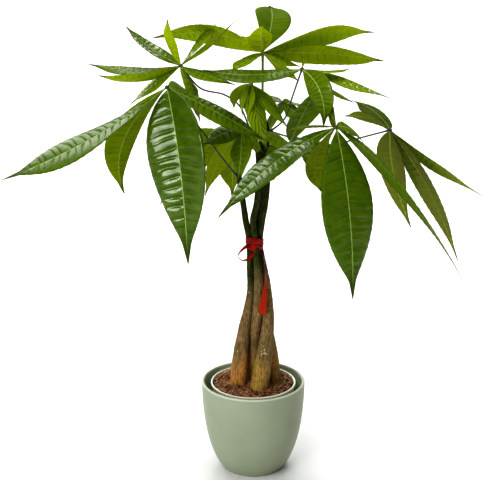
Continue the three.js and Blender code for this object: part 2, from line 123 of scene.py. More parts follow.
LEAVES = [
    Leaf("leaf_upper_left", "middle", 513,
         [(-10, -2, 555), (-22, 2, 579), (-44, 6, 594), (-79, 10, 603)], (-107, 10, 636), [
        ((-46, 25, 22), (-82, 40, 51), 46, 0, 10, 0.3, 1.3),
        ((-12, -15, 38), (-17, -30, 73), 30, 20, 0, 1),
        ((32, 25, 36), (51, 40, 54), 28, 10, 0, 0.8, 1.2, 0.1),
        ((44, -8, 36), (86, 0, 71), 30, 20, 0, 1),
        ((-70, 25, -11), (-140, 40, -5), 46, 5, 0, 0.3, 0.4),
        ((-60, -22, -14), (-117, -40, -6), 42, -35, 10, 1),
        ((39, -35, -7), (81, -55, -17), 36, 0, 0, 0.52, 1.8),
        ((20, -40, -30), (28, -8, -84), 40, -10, 0, 0.7, 0.5),
        ((-40, -2, -27), (-76, -5, -58), 32, 11, 0, 0.75, 1.2),
    ]),
    Leaf("leaf_left", "left", 468, [(-47, -25, 507), (-72, -38, 545), (-106, -55, 598)], (-124, -60, 619), [
        ((-111, -34, -69), (-234, -50, -123), 84, 5, 5, 0.2, 0.58, 0, 0.56),
        ((-66, 35, -86), (-69, 60, -175), 56, -10, 20, 0.42, 1, 0.1),
        ((19, -35, -112), (29, -45, -250), 98, -55, 15, 0.14, 1.9, 0, 0.4),
        ((73, -10, -35), (141, -10, -76), 50, -15, 0, 0.32, 0.6),
        ((22, 65, -22), (37, 74, -38), 40, -50, 0, 0.7, 0.5),
    ]),
    Leaf("leaf_top", "right", 579, [(13, 20, 619)], (13, 20, 653), [
        ((-75, 35, 22), (-167, 80, 7), 64, -40, 0, 0.75),
        ((14, 54, 36), (12, 150, 45), 60, -17, 21, 0.34, 0, 0, 0.55),
        ((-16, -12, 15), (-30, -14, 27), 38, -35, 20, 1),
        ((-2, -17, 24), (-1, -14, 45), 40, -20, 15, 0.9),
        ((82, 35, 19), (170, 70, 18), 64, 35, 0, 1),
        ((96, 37, -8), (179, 5, -13), 66, 40, 0, 0.65, 1, 0, 0.52),
        ((-24, -20, -8), (-46, -40, -20), 42, -5, 10, 0.65),
        ((28, 0, -10), (56, 12, -23), 28, -15, 0, 1, 0.6),
        ((27, -27, -17), (53, -20, -38), 30, 45, 0, 0.65, 1, 0.1),
    ]),
    Leaf("leaf_upper_right", "front", 534, [(45, 2, 558), (56, -14, 595), (63, -25, 620)], (69, -30, 639), [
        ((-72, -20, -4), (-142, -20, 3), 48, 15, 0, 0.27, 0.5),
        ((25, -40, -25), (31, -18, -80), 40, -90, 5, 0.36, 0.9),
        ((36, 1, -3), (72, 38, -7), 28, 0, 0, 0.95, 1.6),
        ((64, 10, -20), (132, 20, -48), 44, -5, 0, 0.95, 1.6, 0.1),
        ((38, -20, -24), (75, -30, -43), 34, 5, 0, 0.4, 0.5, 0.1),
        ((4, 40, 4), (3, 56, 7), 24, -110, 5, 0.45),
    ]),
    Leaf("leaf_front_right", "front", 485, [(46, -25, 510), (83, -62, 544)], (116, -90, 568), [
        ((19, -35, -116), (26, -40, -244), 86, 0, 0, 0.18),
        ((-87, -35, -42), (-167, -60, -116), 80, 4, 5, 0.1, 0.92, 0, 0.52),
        ((99, 15, -95), (195, 30, -242), 60, -15, 0, 0.3, 0.5),
        ((21, 15, -6), (40, 20, -27), 32, -25, 0, 0.5, 0.7, 0.2),
        ((-4, 30, 9), (-12, 50, 18), 30, -85, 5, 0.3, 0.5, 0.3),
        ((-28, 25, -54), (-15, 35, -108), 44, 25, 0, 0.9, 1, 0.3),
        ((-33, 18, -2), (-71, 35, -14), 36, -20, 0, 0.45, 1, 0.6),
    ]),
    Leaf("leaf_right", "front", 470, [(54, 3, 494), (91, 5, 509), (154, 15, 525)], (203, 20, 537), [
        ((-29, 35, 10), (-65, 60, 7), 44, -40, 5, 0.3, 0.5, 0.5),
        ((-19, 63, 14), (-54, 90, 26), 46, -15, 0, 0.1, 0, 0.4),
        ((12, 35, -81), (41, 40, -165), 56, 0, 0, 0.45, 0.5, 0.8, 0.42),
        ((63, 15, -97), (112, 10, -211), 70, 20, 0, 0.45, 0.5, 0.8),
        ((66, 0, -52), (146, -10, -102), 54, 20, 0, 1, 1, 0.65),
    ]),
    Leaf("leaf_back", "right", 570, [(26, 60, 561)], (43, 110, 558), [
        ((-23, 20, 5), (-48, 30, 3), 40, -5, 0, 0.2, 0.5, 0.1),
        ((28, 60, -15), (63, 136, -46), 46, -13, 0, 0.4, 0.6),
        ((17, 8, -13), (37, 2, -33), 40, -30, 0, 0.6, 0.6),
        ((-7, 55, -27), (-19, 115, -81), 46, 40, 0, 0.2, 1, 0.1),
    ]),
    Leaf("leaf_young", "middle", 505, [(0, -22, 565)], (-4, -35, 618), [
        ((-13, -12, -17), (-12, -10, -46), 24, -15, 0, 0.8, 0.6, 0.15),
        ((-5, -20, -20), (-5, -25, -48), 28, -45, 0, 0.85, 0.6, 0.15),
        ((9, -25, -41), (24, -15, -95), 34, -20, 0, 1, 0.6, 0.05),
        ((27, -10, -27), (53, -5, -63), 32, -25, 0, 1, 0.6),
        ((-19, 5, -12), (-25, 15, -38), 34, -15, 0, 1, 0.6, 0.05),
    ]),
    Leaf("leaf_inner_left", "left", 477, [(-19, -12, 515)], (-18, -25, 553), [
        ((-1, -25, -34), (-5, -35, -72), 38, -35, 5, 0.47, 0.7, 0.1),
        ((-28, -18, -6), (-59, -23, -23), 42, 20, 0, 0.42, 0.6),
        ((-32, 40, -58), (-56, 65, -124), 46, 0, 0, 0.75, 1, 0.1),
        ((16, -10, -16), (31, -5, -38), 36, -20, 0, 1, 0.7),
    ]),
    Leaf("leaf_inner_right", "front", 510, [(35, 4, 517)], (54, 0, 522), [
        ((23, 50, 37), (47, 80, 69), 68, 20, 0, 0.3, 0),
        ((-23, -11, 10), (-46, -10, 24), 36, 20, 0, 0.95, 0.6, 0.1),
        ((-21, -8, -12), (-41, -6, -27), 36, 37, 0, 1),
        ((23, 20, -13), (43, 40, -36), 36, -40, 0, 1),
    ]),
    Leaf("leaf_back_left", "right", 494, [(-11, 50, 511)], (-41, 90, 518), [
        ((-52, 40, -56), (-109, 75, -140), 70, -15, 0, 0.5),
        ((-61, 43, -19), (-123, 115, -66), 66, -32, 0, 0.65),
        ((-10, 82, -32), (-18, 150, -88), 68, 20, 0, 0.35),
        ((26, 58, -16), (50, 102, -46), 54, 10, 0, 0.3),
        ((8, 42, -57), (7, 60, -121), 58, 40, 0, 0.45),
    ]),
    Leaf("leaf_back_right", "right", 540, [(42, 60, 520)], (76, 92, 503), [
        ((36, 45, -60), (73, 55, -148), 72, 0, 0, 0.2),
        ((53, 42, -25), (102, 120, -92), 66, -2, 0, 0.3),
        ((12, 86, -26), (24, 158, -80), 68, -20, 0, 0.3),
        ((-23, 36, -29), (-42, 114, -96), 58, 20, 0, 0.3),
    ]),
]

# ---- meshes ----


class Piece:
    """Collects closed tubes and makes one mesh object of them. A tube is a row of rings of points, and a fan
    closes each end."""

    def __init__(self, name):
        self.name = name
        self.points, self.quads, self.fans = [], [], []
        self.quad_marks, self.fan_marks = [], []
        self.values = {}
        self.count = 0

    def tubes(self, rings, marks=0, **values):
        """Adds tubes of shape (tubes, rings, points round, 3). marks is the material of each column, and a
        value is a number or one for each point. Tubes with a negative volume are turned inside out."""
        rings = np.asarray(rings, float)
        rings = rings[None] if rings.ndim == 3 else rings
        tubes, rows, columns = rings.shape[:3]
        size = rows * columns
        index = self.count + np.arange(tubes * size).reshape(tubes, rows, columns)
        following = np.roll(index, -1, axis=2)
        quads = np.stack([index[:, :-1], following[:, :-1], following[:, 1:], index[:, 1:]], -1)
        poles = self.count + tubes * size + np.arange(tubes * 2).reshape(tubes, 1, 2)
        poles = np.broadcast_to(poles, (tubes, columns, 2))
        first = np.stack([following[:, 0], index[:, 0], poles[..., 0]], -1)
        last = np.stack([index[:, -1], following[:, -1], poles[..., 1]], -1)

        across = np.roll(rings, -1, axis=2)
        middle = rings.mean(axis=(1, 2), keepdims=True)
        corners = (rings[:, :-1], across[:, :-1], across[:, 1:], rings[:, 1:])
        a, b, c, d = (corner - middle for corner in corners)
        volume = (a * (np.cross(b, c) + np.cross(c, d))).sum(axis=(1, 2, 3))
        for faces in (quads, first, last):
            faces[volume < 0] = faces[volume < 0][..., ::-1]

        self.points += [rings.reshape(-1, 3), rings[:, [0, -1]].mean(axis=2).reshape(-1, 3)]
        self.quads.append(quads.reshape(-1, 4))
        self.fans += [first.reshape(-1, 3), last.reshape(-1, 3)]
        marks = np.broadcast_to(marks, columns)
        self.quad_marks.append(np.tile(marks, tubes * (rows - 1)))
        self.fan_marks.append(np.tile(marks, tubes * 2))
        for key, value in values.items():
            value = np.broadcast_to(value, rings.shape[:3])
            self.values.setdefault(key, []).extend([value.ravel(), value[:, [0, -1]].mean(axis=2).ravel()])
        self.count += tubes * (size + 2)

    def build(self, materials, node):
        """Makes the object, shades it smooth, and lets it stand for a node of the frame."""
        points = np.concatenate(self.points) * MM
        quads, fans = np.concatenate(self.quads), np.concatenate(self.fans)
        corners = np.concatenate([quads.ravel(), fans.ravel()])
        sizes = np.repeat([4, 3], [len(quads), len(fans)])
        mesh = bpy.data.meshes.new(self.name)
        mesh.vertices.add(len(points))
        mesh.vertices.foreach_set("co", points.astype(np.float32).ravel())
        mesh.loops.add(len(corners))
        mesh.loops.foreach_set("vertex_index", corners.astype(np.int32))
        mesh.polygons.add(len(sizes))
        marks = np.concatenate(self.quad_marks + self.fan_marks)
        faces = {"loop_start": np.cumsum(sizes) - sizes, "loop_total": sizes, "material_index": marks}
        for key, numbers in faces.items():
            mesh.polygons.foreach_set(key, numbers.astype(np.int32))
        mesh.polygons.foreach_set("use_smooth", np.ones(len(sizes), bool))
        for key, parts in self.values.items():
            layer = mesh.attributes.new(key, "FLOAT", "POINT")
            layer.data.foreach_set("value", np.concatenate(parts).astype(np.float32))
        mesh.update(calc_edges=True)
        mesh.validate()
        for material in materials:
            mesh.materials.append(material)
        piece = add_object(self.name, mesh)
        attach(piece, "root")
        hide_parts(node)


def add_object(name, data):
    """Puts a new object with this data into the scene."""
    thing = bpy.data.objects.new(name, data)
    bpy.context.scene.collection.objects.link(thing)
    return thing


def unit(vectors):
    """Each vector divided by its own length."""
    return vectors / np.linalg.norm(vectors, axis=-1, keepdims=True)


def round_angles(count):
    """Even angles once round, in radians."""
    return np.linspace(0, 2 * np.pi, count, endpoint=False)


def smooth_path(points, share):
    """Points at the given shares of a curve through all the points: on each stretch the cubic whose slope at
    a point is half the step between the points on either side of it."""
    points = np.asarray(points, float)
    padded = np.concatenate([2 * points[:1] - points[1:2], points, 2 * points[-1:] - points[-2:-1]])
    place = np.clip(share, 0, 1) * (len(points) - 1)
    k = np.minimum(place.astype(int), len(points) - 2)
    t = (place - k)[:, None]
    before, start, end, after = (padded[k + i] for i in range(4))
    return start + 0.5 * t * (end - before + t * (2 * before - 5 * start + 4 * end - after
                                                  + t * (3 * (start - end) + after - before)))


def ways_across(path, reference):
    """For each point of a path two directions across it: the reference, which is one vector or one for each
    point, made square to the path, and the one that is square to both."""
    along = unit(np.gradient(path, axis=0))
    first = unit(reference - (reference * along).sum(axis=1, keepdims=True) * along)
    return first, np.cross(along, first)


def sweep(path, first, second, x, y):
    """A ring for each point of a path: the point plus x times the first direction and y times the second."""
    return path[:, None] + first[:, None] * x[..., None] + second[:, None] * y[..., None]


def round_rings(path, radius, columns, reference=(1.0, 0.0, 0.0)):
    """Rings about a path: the radius times cosine and sine along the two directions across the path. radius
    is a number per ring, or per ring and point."""
    angle = round_angles(columns)
    radius = np.asarray(radius, float).reshape(len(path), -1)
    first, second = ways_across(path, np.array(reference))
    return sweep(path, first, second, radius * np.cos(angle), radius * np.sin(angle))


def ripples(seed, count, low, high, *coordinates):
    """A smooth random relief between about -1 and 1: the mean of sine waves in random directions over the
    coordinates, with random phases and a wave number between low and high for each coordinate."""
    draw = np.random.default_rng(seed)
    total = 0.0
    for _ in range(count):
        phase = draw.uniform(0, 2 * np.pi)
        for k, coordinate in enumerate(coordinates):
            phase = phase + coordinate * draw.uniform(low[k], high[k]) * draw.choice([-1, 1])
        total = total + np.sin(phase)
    return total / np.sqrt(count)


def bump_shape(distance, reach):
    """A bell curve of the distance: 1 at its middle, falling off with the reach."""
    return np.exp(-(distance / reach) ** 2)


# ---- shaders ----


class Value:
    """A shader socket that takes part in Python expressions. Each operator adds a Math node."""

    def __init__(self, nodes, socket):
        self.nodes, self.socket = nodes, socket

    def maths(self, operation, *others):
        return self.nodes.node("ShaderNodeMath", {"operation": operation}, dict(enumerate((self, *others))))

    def __add__(self, other):
        return self.maths("ADD", other)

    def __sub__(self, other):
        return self.maths("SUBTRACT", other)

    def __rsub__(self, other):
        return self.nodes.node("ShaderNodeMath", {"operation": "SUBTRACT"}, {0: other, 1: self})

    def __mul__(self, other):
        return self.maths("MULTIPLY", other)

    def __abs__(self):
        return self.maths("ABSOLUTE")

    __radd__ = __add__
    __rmul__ = __mul__

    def clear(self):
        """The value kept between 0 and 1."""
        return self.maths("MINIMUM", 1.0).maths("MAXIMUM", 0.0)


class Nodes:
    """The nodes of a material or of the world."""

    def __init__(self, tree):
        self.tree = tree

    def feed(self, socket, value):
        """A Value is linked to the socket; a plain number or colour is set on it."""
        if isinstance(value, Value):
            self.tree.links.new(value.socket, socket)
        elif socket.type == "RGBA":
            socket.default_value = (*value, 1.0)
        else:
            socket.default_value = value

    def node(self, kind, settings, inputs, output=0):
        """Adds a node: first its settings, then its sockets by name or number. Returns one output."""
        node = self.tree.nodes.new(kind)
        for key, value in settings.items():
            setattr(node, key, value)
        for key, value in inputs.items():
            self.feed(node.inputs[key], value)
        return Value(self, node.outputs[output])


class Paint(Nodes):
    """A material with one Principled shader, given the strength and the tint of its reflections."""

    def __init__(self, name, shine, tint=(1.0, 1.0, 1.0)):
        self.material = bpy.data.materials.new(name)
        self.material.use_nodes = True
        super().__init__(self.material.node_tree)
        self.shader = self.tree.nodes["Principled BSDF"]
        self.set({"Specular IOR Level": shine, "Specular Tint": tint})

    def set(self, inputs):
        for key, value in inputs.items():
            self.feed(self.shader.inputs[key], value)

    def over(self, colour, **layers):
        """Lays colours over the first one in turn: each layer's name labels its node, and the layer is the
        share that it covers, from 0 to 1, and its colour."""
        for name, (share, layer) in layers.items():
            settings = {"data_type": "RGBA", "label": name}
            colour = self.node("ShaderNodeMix", settings, {0: share, 6: colour, 7: layer}, output=2)
        return colour

    def __getitem__(self, name):
        """The number that the piece's points carry under this name."""
        return self.node("ShaderNodeAttribute", {"attribute_name": name}, {}, output="Fac")

    def place(self, stretch=(1.0, 1.0, 1.0)):
        """The point on the object, with each axis multiplied by a stretch."""
        point = self.node("ShaderNodeTexCoord", {}, {}, output="Object")
        return self.node("ShaderNodeMapping", {}, {"Vector": point, "Scale": stretch})

    def noise(self, scale, detail, *stretch):
        """Soft clouds between 0 and 1: the scale is how many lie along a metre."""
        inputs = {"Vector": self.place(*stretch), "Scale": scale, "Detail": detail}
        return self.node("ShaderNodeTexNoise", {}, inputs)

    def net(self, scale):
        """The distance to the edges of a mesh of small cells."""
        inputs = {"Vector": self.place(), "Scale": scale}
        return self.node("ShaderNodeTexVoronoi", {"feature": "DISTANCE_TO_EDGE"}, inputs)

    def ramp(self, value, low, high):
        """A soft step: 0 below low, 1 above high, and the other way round if low is the greater one."""
        settings = {"interpolation_type": "SMOOTHSTEP"}
        return self.node("ShaderNodeMapRange", settings, {0: value, 1: low, 2: high})

    def glow_through(self, share, colour):
        """Mixes in light that passes through from behind, tinted by the colour."""
        sheer = self.node("ShaderNodeBsdfTranslucent", {}, {"Color": colour})
        own = Value(self, self.shader.outputs[0])
        both = self.node("ShaderNodeMixShader", {}, {0: share, 1: own, 2: sheer})
        self.feed(self.tree.nodes["Material Output"].inputs["Surface"], both)

    def finish(self, colour, roughness, relief, depth, strength):
        """Feeds what varies to the shader, the relief through a Bump of a depth in metres."""
        bump = self.node("ShaderNodeBump", {}, {"Strength": strength, "Distance": depth, "Height": relief})
        self.set({"Base Color": colour, "Roughness": roughness, "Normal": bump})
        return self.material


# ---- finishes, with colours as red, green and blue in linear light ----


def vein_lines(paint, width, shift=0.0):
    """One on the side veins, whose phase is a whole number there, fading out towards the margin. A shift
    moves the lines to one side of the veins."""
    wave = abs(((paint["phase"] + shift) * np.pi).maths("SINE"))
    return (1 - paint.ramp(wave, 0.0, width)) * (1 - paint["edge"] * paint["edge"] * 0.8)


def rib_line(paint, width):
    """One on the midrib, out to the given distance in millimetres."""
    return 1 - paint.ramp(abs(paint["across"]), width * 0.5, width)


def leaf_face():
    """The upper side: glossy, dark to fresh green, with sunken paler veins, painted shade in the creases
    beside them, a pale midrib and a dark matt tip."""
    paint = Paint("leaf_face", 0.12, (0.8, 1.0, 0.5))
    tone, brown, gloss = paint["tone"], paint["brown"], paint["gloss"]
    mottle = paint.noise(60.0, 4.0)
    fine = paint.noise(260.0, 3.0)
    # beside marks the creases next to the side veins: the shade layer paints shade there, and the blade is
    # rougher there.
    beside = vein_lines(paint, 0.8, 0.14)
    tip = paint.ramp(paint["share"], 0.8, 0.96)
    # The sunlit layer is painted light: a leaflet's tone mixes its own green with painted light and shade,
    # how brightly it is lit and backlit.
    green = paint.over(
        (0.018, 0.05, 0.0005),
        sunlit=((tone + (mottle - 0.5) * 0.3).clear(), (0.27, 0.37, 0.002)),
        bronze=(brown * 0.8, (0.1, 0.085, 0.02)),
        shade=(beside * 0.45, (0.02, 0.045, 0.001)),
        veins=(vein_lines(paint, 0.13) * 0.4, (0.17, 0.27, 0.015)),
        midrib=(rib_line(paint, 1.0) * 0.75, (0.36, 0.46, 0.14)),
        margin=(paint.ramp(paint["edge"], 0.93, 1.0) * 0.6, (0.02, 0.04, 0.001)),
        tip=(tip * 0.88, (0.015, 0.025, 0.002)))
    cells = paint.ramp(paint.net(420.0), 0.0, 0.18)
    roughness = mottle * 0.2 + 0.14 + (1 - gloss).clear() * 0.5 + beside * 0.3 + tip * 0.3
    coat = (mottle * 0.65 * gloss * (1 - beside * 0.9) * (1 - tip)).clear()
    paint.set({"Coat Weight": coat, "Coat Roughness": 0.08})
    paint.glow_through(0.12, (0.45, 0.75, 0.008))
    return paint.finish(green, roughness, cells * 0.2 - vein_lines(paint, 0.22) + fine * 0.5, 0.0008, 0.6)


def leaf_back():
    """The underside: matt and paler, with raised veins and a dark tip."""
    paint = Paint("leaf_back", 0.03, (0.8, 1.0, 0.2))
    tone, brown = paint["tone"], paint["brown"]
    mottle = paint.noise(45.0, 4.0)
    # The sunlit layer is painted light: a leaflet's tone mixes its own green with painted light and shade,
    # how brightly it is lit and backlit.
    green = paint.over(
        (0.07, 0.115, 0.001),
        sunlit=((tone + (mottle - 0.55) * 0.6).clear(), (0.5, 0.57, 0.002)),
        bronze=(brown, (0.19, 0.165, 0.055)),
        veins=(vein_lines(paint, 0.45) * 0.45, (0.06, 0.115, 0.002)),
        midrib=(rib_line(paint, 1.5) * 0.7, (0.42, 0.5, 0.12)),
        margin=(paint.ramp(paint["edge"], 0.93, 1.0) * 0.5, (0.03, 0.05, 0.001)),
        tip=(paint.ramp(paint["share"], 0.86, 0.97) * 0.85, (0.02, 0.03, 0.002)))
    cells = paint.ramp(paint.net(380.0), 0.0, 0.2)
    paint.glow_through(0.42, (0.72, 0.88, 0.006))
    return paint.finish(green, mottle * 0.12 + 0.5, vein_lines(paint, 0.22) - cells * 0.3, 0.0005, 0.6)


def leaf_stalk():
    """Stalks and hubs: smooth dark olive, light green on fresh stalks, with fine streaks along them."""
    paint = Paint("leaf_stalk", 0.45)
    streak = paint.noise(700.0, 3.0, (1.0, 1.0, 0.15))
    colour = paint.over(
        (0.04, 0.042, 0.014),
        green=(paint.ramp(paint.noise(25.0, 2.0), 0.35, 0.7), (0.075, 0.11, 0.02)),
        fresh=(paint["tone"], (0.18, 0.31, 0.03)),
        streaks=(streak * 0.5, (0.025, 0.022, 0.01)))
    return paint.finish(colour, streak * 0.2 + 0.35, streak, 0.0003, 0.4)


def bark():
    """Young bark: orange-brown at the foot, olive-brown in the middle and green-brown above, with lengthwise
    streaks, grey-green patches, dark cracks and pale specks on the warts."""
    paint = Paint("bark", 0.12, (1.0, 0.9, 0.6))
    streak = paint.noise(430.0, 6.0, (1.0, 1.0, 0.3))
    fine = paint.noise(1300.0, 4.0, (1.0, 1.0, 0.6))
    patch = paint.noise(34.0, 3.0, (1.0, 1.0, 0.5))
    foot = paint.over(
        (0.38, 0.26, 0.07),
        orange=(paint["warm"], (0.54, 0.27, 0.075)),
        patches=(paint.ramp(patch, 0.45, 0.65) * 0.5, (0.3, 0.2, 0.08)),
        streaks=(paint.ramp(streak, 0.56, 0.36) * 0.6, (0.15, 0.085, 0.025)))
    middle = paint.over(
        (0.12, 0.08, 0.034),
        brown=(paint.ramp(streak, 0.3, 0.68), (0.255, 0.172, 0.08)),
        patches=(paint.ramp(patch, 0.5, 0.64) * 0.35, (0.09, 0.085, 0.035)))
    upper = paint.over(
        (0.012, 0.018, 0.003),
        green=(paint.ramp(streak, 0.34, 0.66), (0.045, 0.06, 0.012)))
    level = paint["height"] + (patch - 0.5) * 50.0 + (streak - 0.5) * 40.0
    speck = paint.ramp(paint["wart"] + (fine - 0.5) * 1.5, 0.45, 0.8)
    colour = paint.over(
        foot,
        middle=(paint.ramp(level, 158.0, 208.0), middle),
        upper=(paint.ramp(level - paint["green_from"], 0.0, 45.0), upper),
        cracks=(paint["crack"].clear() * 0.7, (0.035, 0.018, 0.006)),
        specks=(speck * 0.8, (0.55, 0.42, 0.2)))
    return paint.finish(colour, fine * 0.25 + 0.5, streak * 0.7 + fine * 0.3, 0.0018, 0.7)


def satin_glaze():
    """The cover pot's even sage glaze: satin, with a faint mottle and fine grain, a painted highlight on the
    rim and painted light on the inside of the wall."""
    paint = Paint("satin_glaze", 0.25)
    cloud = paint.noise(14.0, 3.0)
    grain = paint.noise(900.0, 2.0)
    colour = paint.over(
        (0.266, 0.3, 0.214),
        clouds=(paint.ramp(cloud, 0.3, 0.7), (0.292, 0.326, 0.236)),
        grain=(paint.ramp(grain, 0.66, 0.78) * 0.25, (0.22, 0.27, 0.17)),
        # Painted light: the inside of the wall is painted paler, as if light filled the narrow gap between
        # the pots.
        inside=(paint["inside"], (0.5, 0.62, 0.46)),
        # Painted highlight: the top few millimetres of the rim are painted paler, where light catches the
        # rounded rim.
        rim=(paint.ramp(paint["height"], COVER_HEIGHT - 3, COVER_HEIGHT - 1), (0.56, 0.57, 0.46)))
    return paint.finish(colour, cloud * 0.1 + 0.38, cloud * 0.6 + grain * 0.03, 0.0004, 0.5)


def cream_plastic():
    """The nursery pot: cream moulded plastic with slight scuffs."""
    paint = Paint("cream_plastic", 0.5)
    scuff = paint.noise(220.0, 4.0, (1.0, 1.0, 4.0))
    colour = paint.over(
        (1.0, 0.96, 0.84),
        scuffs=(paint.ramp(scuff, 0.5, 0.75) * 0.4, (0.85, 0.78, 0.62)))
    return paint.finish(colour, scuff * 0.2 + 0.32, scuff, 0.0003, 0.3)


def bark_mulch():
    """Shredded bark: each chip has its own shade, near black through red-brown to pale wood, with painted
    shade darkening the chips towards the right.
    """
    paint = Paint("bark_mulch", 0.3)
    shade = paint["shade"]
    grain = paint.noise(800.0, 5.0)
    colour = paint.over(
        (0.02, 0.01, 0.006),
        red_brown=(paint.ramp(shade, 0.0, 0.5), (0.5, 0.25, 0.13)),
        pale_wood=(paint.ramp(shade, 0.55, 1.0), (0.75, 0.46, 0.22)),
        grain=(paint.ramp(grain, 0.4, 0.65) * 0.5, (0.08, 0.03, 0.013)))
    return paint.finish(colour, grain * 0.3 + 0.6, grain, 0.001, 0.7)


def red_satin():
    """Ribbon: fine cross weave, deep red on the wraps, a painted shadow in dark maroon where the tail
    starts, and orange-red below.
    """
    paint = Paint("red_satin", 0.2, (1.0, 0.5, 0.4))
    fresh = paint["fresh"]
    weave = (paint["along"] * 9.0).maths("SINE") * 0.5 + 0.5
    fade = paint.noise(70.0, 3.0)
    wrap = paint.over(
        (0.15, 0.002, 0.002),
        full_red=(paint.ramp(fade, 0.35, 0.7), (0.32, 0.006, 0.005)))
    # The base colour is the painted shadow, used where fresh is below 0 at the start of the tail.
    colour = paint.over(
        (0.05, 0.002, 0.002),
        wrap=(paint.ramp(fresh, -1.0, 0.0), wrap),
        orange_red=(fresh, (0.33, 0.03, 0.007)),
        weave=(weave * 0.2, (0.13, 0.003, 0.002)))
    return paint.finish(colour, fade * 0.2 + 0.36, weave, 0.0002, 0.35)


# ---- leaves ----


@dataclass
class Veins:
    """The side veins' slope towards the tip, the distance between them on a large leaflet, the power that
    makes the cushions between them round or plump, their depth, and the points across the blade."""
    slope: float
    step: float
    power: float
    depth: float
    columns: int


GROWN_VEINS = Veins(slope=0.05, step=13.0, power=0.45, depth=1.0, columns=25)
# Young leaflets are still pleated along steep veins.
YOUNG_VEINS = Veins(slope=2.2, step=21.0, power=1.0, depth=2.1, columns=41)
FRESH_STALKS = ("leaf_top", "leaf_young")

STALK_RADIUS = 1.25
FRESH_STALK_EXTRA = 0.6
BLADE_HALF_THICKNESS = 0.22
# Shares of the midrib: where the blade starts, its own length, and the drip tip.
BLADE_START = 0.02
BLADE_SHARE = 0.89
DRIP_TIP_SHARE = 0.12
RING_STEP = 1.3


def blade_outline(share, leaflet):
    """Half the width along the midrib: a sine arch skewed to its widest place and raised to 0.8, joined
    by a smooth maximum to the round stalk at the base and to the thread-like drip tip."""
    inside = np.clip((share - BLADE_START) / BLADE_SHARE, 0, 1)
    skew = np.log(0.5) / np.log((leaflet.peak - BLADE_START) / BLADE_SHARE)
    blade = np.sin(np.pi * inside ** skew).clip(0) ** 0.8 * leaflet.width / 2
    taper = 0.6 + (0.3 + 0.075 * leaflet.width) * np.clip((1 - share) / DRIP_TIP_SHARE, 0, 1)
    stalk = np.where(share < leaflet.peak, 1.1, taper)
    return (blade ** 4 + stalk ** 4) ** 0.25


def leaflet_midrib(hub, leaflet, draw):
    """The quadratic curve from the hub through the half point to the tip, with two directions across it:
    sideways and facing up, turned about the curve by the leaflet's turn and a slow drawn sway."""
    start = np.array(hub, float)
    half, tip = start + leaflet.half, start + leaflet.tip
    control = 2 * half - (start + tip) / 2
    length = np.linalg.norm(half - start) + np.linalg.norm(tip - half)
    share = np.linspace(0, 1, int(np.clip(length / RING_STEP, 36, 190)))[:, None]
    rib = (1 - share) ** 2 * start + 2 * share * (1 - share) * control + share ** 2 * tip
    chord = unit(tip - start)
    up = unit(np.array([0, 0, 1]) - chord[2] * chord)
    along = unit((1 - share) * (control - start) + share * (tip - control))
    side = unit(np.cross(along, up))
    face = np.cross(side, along)
    turn = np.radians(leaflet.turn + 5 * np.sin(share * draw.uniform(3, 6) + draw.uniform(0, 6)))
    side, face = side * np.cos(turn) + face * np.sin(turn), face * np.cos(turn) - side * np.sin(turn)
    return share, length, rib, side, face


def add_leaflet(piece, hub, leaflet, seed, veins):
    """A blade as one closed tube: each ring runs over the upper face from edge to edge and back below.
    A point is the midrib's arc, plus the half width sideways, plus a height made of the fold, a slight
    droop to the edges, cushions between the side veins, a wavy margin and a grooved midrib."""
    draw = np.random.default_rng(seed)
    share, length, rib, side, face = leaflet_midrib(hub, leaflet, draw)
    even = np.linspace(-1, 1, veins.columns)
    v = np.sign(even) * np.abs(even) ** 1.45
    v = np.concatenate([v, v[::-1]])
    below = np.arange(2 * veins.columns) >= veins.columns
    reach = blade_outline(share, leaflet)
    across = v * reach
    size = leaflet.width / 90

    along = share * length
    step = veins.step * (0.45 + 0.55 * size) * draw.uniform(0.92, 1.08)
    phase = (along - veins.slope * np.abs(across) - 0.2 * across ** 2 / (leaflet.width / 2)) / step
    phase = phase + 0.14 * ripples(seed, 6, (1.0, 0.02), (4.5, 0.06), along / step, across) + 0.4 * (v > 0)
    plump = 1 + 0.35 * ripples(seed + 1, 6, (0.5, 0.03), (3, 0.1), along / step, across)
    cushion = (np.abs(np.sin(np.pi * phase)) ** veins.power - 0.75) * plump * veins.depth
    body = np.clip(reach / (0.3 * leaflet.width), 0, 1)
    quilt = (0.4 + 1.3 * size) * cushion * np.clip(np.abs(v) / 0.16, 0, 1) * (1 - np.abs(v) ** 4) * body

    fold = np.radians(leaflet.fold)
    height = np.sin(fold) * reach * (np.sqrt(v ** 2 + 0.01) - 0.1)
    height = height - 0.1 * reach * np.abs(v) ** 2.5 + quilt
    wave = np.sin(share * draw.uniform(7, 12) + draw.uniform(0, 6) + 2 * (v > 0))
    ruffle = 0.3 * np.cos(2 * np.pi * phase) + wave
    height = height + (0.3 + 0.7 * size) * ruffle * np.abs(v) ** 3 * body
    thick = BLADE_HALF_THICKNESS * (1 - 0.4 * v ** 8) + 0.8 * bump_shape(share, 0.035)
    groove = bump_shape(across, 1.1) * body
    height = height + np.where(below, -thick - 0.75 * groove * (1.1 - share), thick - 0.3 * groove)
    points = sweep(rib, side, face, across * np.cos(fold), height)
    piece.tubes(points, below.astype(int), phase=phase, across=across, edge=np.abs(v), share=share,
                tone=leaflet.tone, brown=leaflet.brown, gloss=leaflet.gloss)


